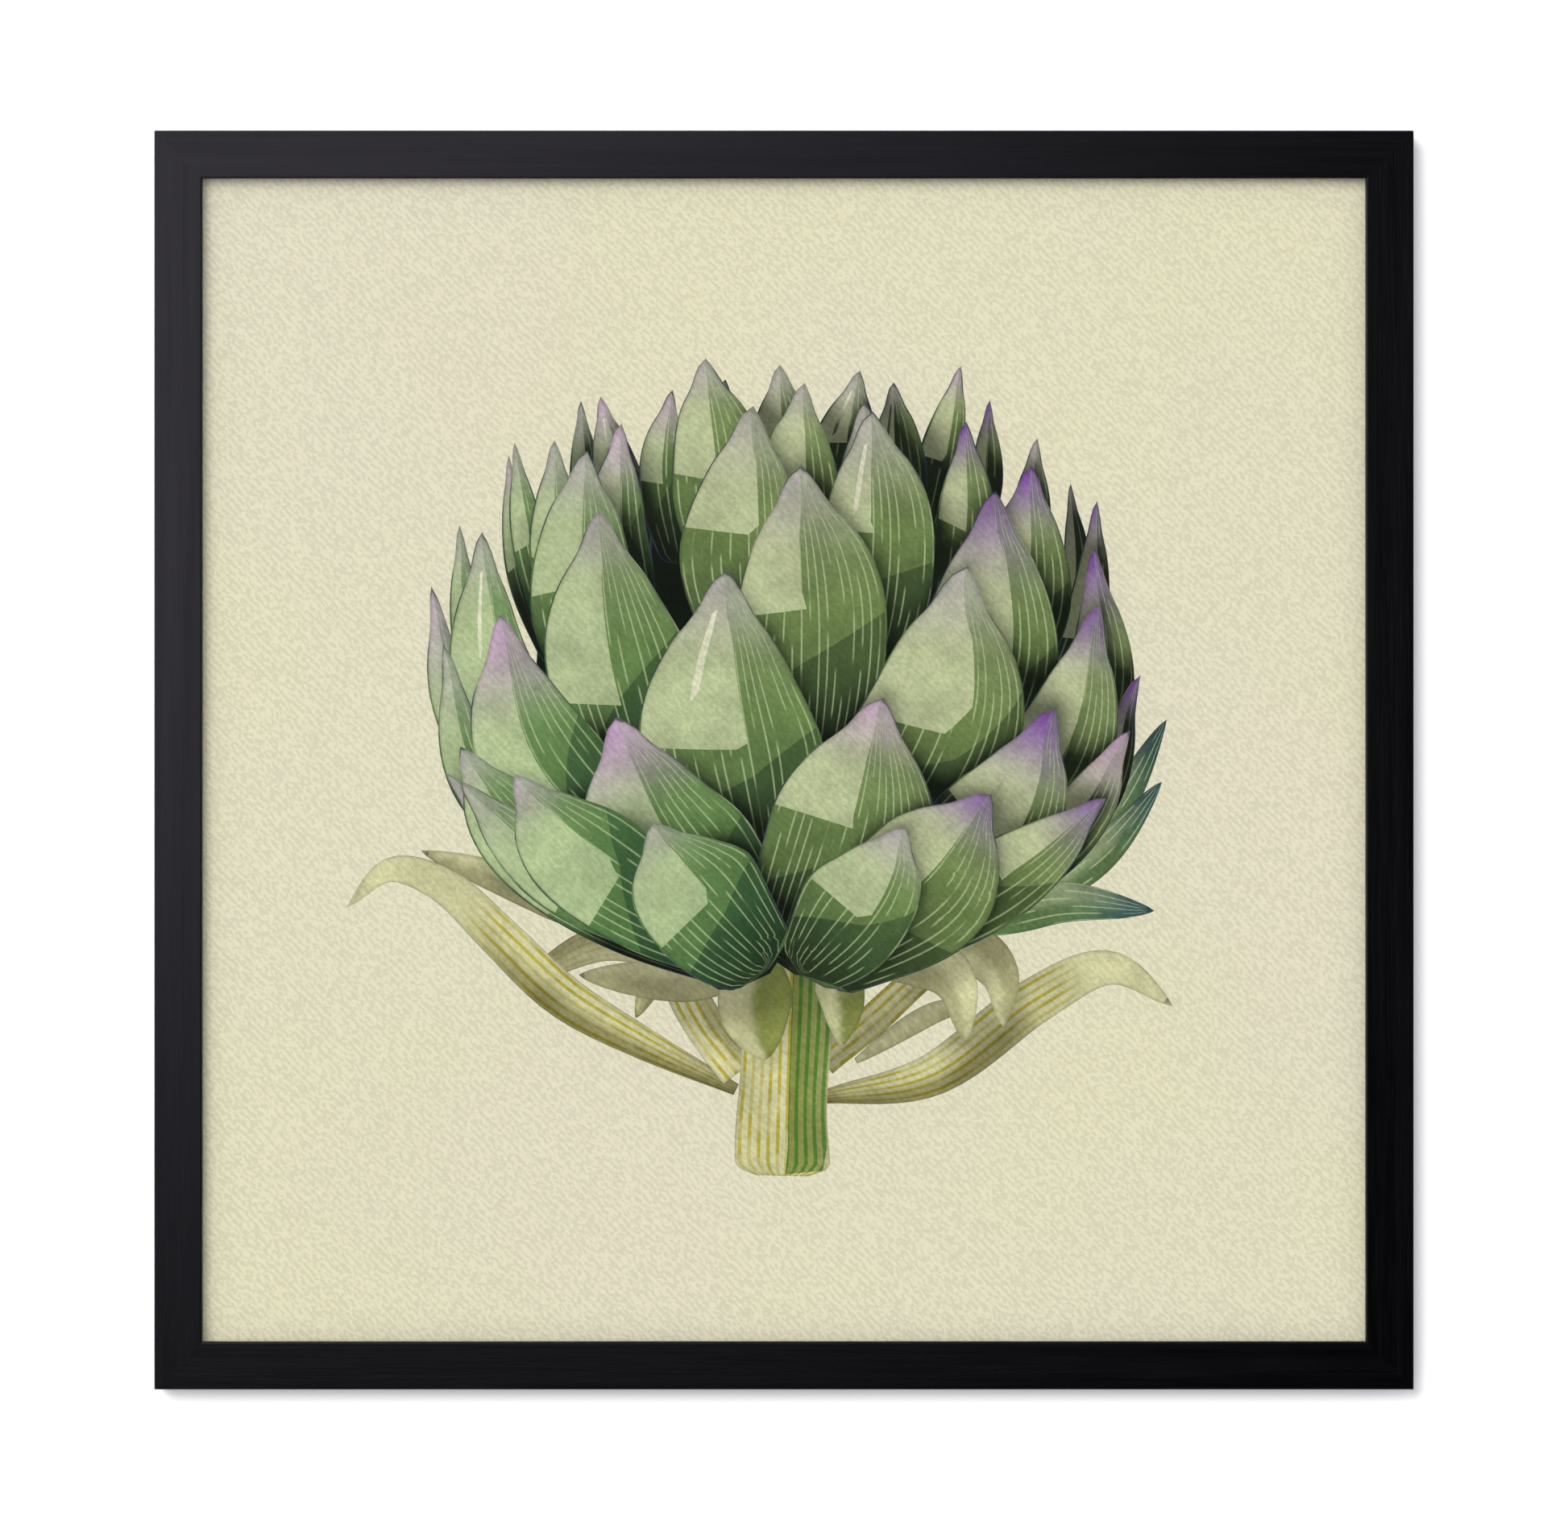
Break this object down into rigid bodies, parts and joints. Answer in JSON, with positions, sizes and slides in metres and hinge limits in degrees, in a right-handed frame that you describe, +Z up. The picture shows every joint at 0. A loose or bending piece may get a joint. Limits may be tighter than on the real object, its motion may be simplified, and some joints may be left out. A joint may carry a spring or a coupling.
{
  "type": "framed art print",
  "caption": "Square art print of an artichoke on cream paper, behind glass in a narrow black wooden frame with a sawtooth hanger on its back.",
  "frame": {"origin": "seat of the wall nail: the end of the middle notch of the sawtooth hanger, on the back of the top rail", "axes": "+Z up; +Y from the picture towards the wall, square to the glass; +X to the right of someone facing the picture"},
  "size_m": [0.526, 0.0344, 0.5261],
  "materials": {
    "black_wood": "satin black stain, fine grain along each rail",
    "picture_glass": "clear, low reflection",
    "printed_paper": "matte, uncoated, lightly textured",
    "hardboard": "matte, pressed wood fibre",
    "zinc_steel": "satin zinc plate",
    "brassed_steel": "satin brass plate",
    "felt": "soft black felt"
  },
  "bodies": {
    "root": {"rail_top": "black_wood", "rail_right": "black_wood", "rail_bottom": "black_wood", "rail_left": "black_wood", "glazing": "picture_glass", "art_print": "printed_paper", "backing_board": "hardboard", "flex_tab_top_1": "zinc_steel", "flex_tab_top_2": "zinc_steel", "flex_tab_top_3": "zinc_steel", "flex_tab_top_4": "zinc_steel", "flex_tab_right_1": "zinc_steel", "flex_tab_right_2": "zinc_steel", "flex_tab_right_3": "zinc_steel", "flex_tab_right_4": "zinc_steel", "flex_tab_bottom_1": "zinc_steel", "flex_tab_bottom_2": "zinc_steel", "flex_tab_bottom_3": "zinc_steel", "flex_tab_bottom_4": "zinc_steel", "flex_tab_left_1": "zinc_steel", "flex_tab_left_2": "zinc_steel", "flex_tab_left_3": "zinc_steel", "flex_tab_left_4": "zinc_steel", "v_nail_top_left_outer": "zinc_steel", "v_nail_top_left_inner": "zinc_steel", "v_nail_top_right_outer": "zinc_steel", "v_nail_top_right_inner": "zinc_steel", "v_nail_bottom_right_outer": "zinc_steel", "v_nail_bottom_right_inner": "zinc_steel", "v_nail_bottom_left_outer": "zinc_steel", "v_nail_bottom_left_inner": "zinc_steel", "sawtooth_hanger": "brassed_steel", "hanger_screw_left": "brassed_steel", "hanger_screw_right": "brassed_steel", "wall_pad_left": "felt", "wall_pad_right": "felt"}
  },
  "joints": []
}
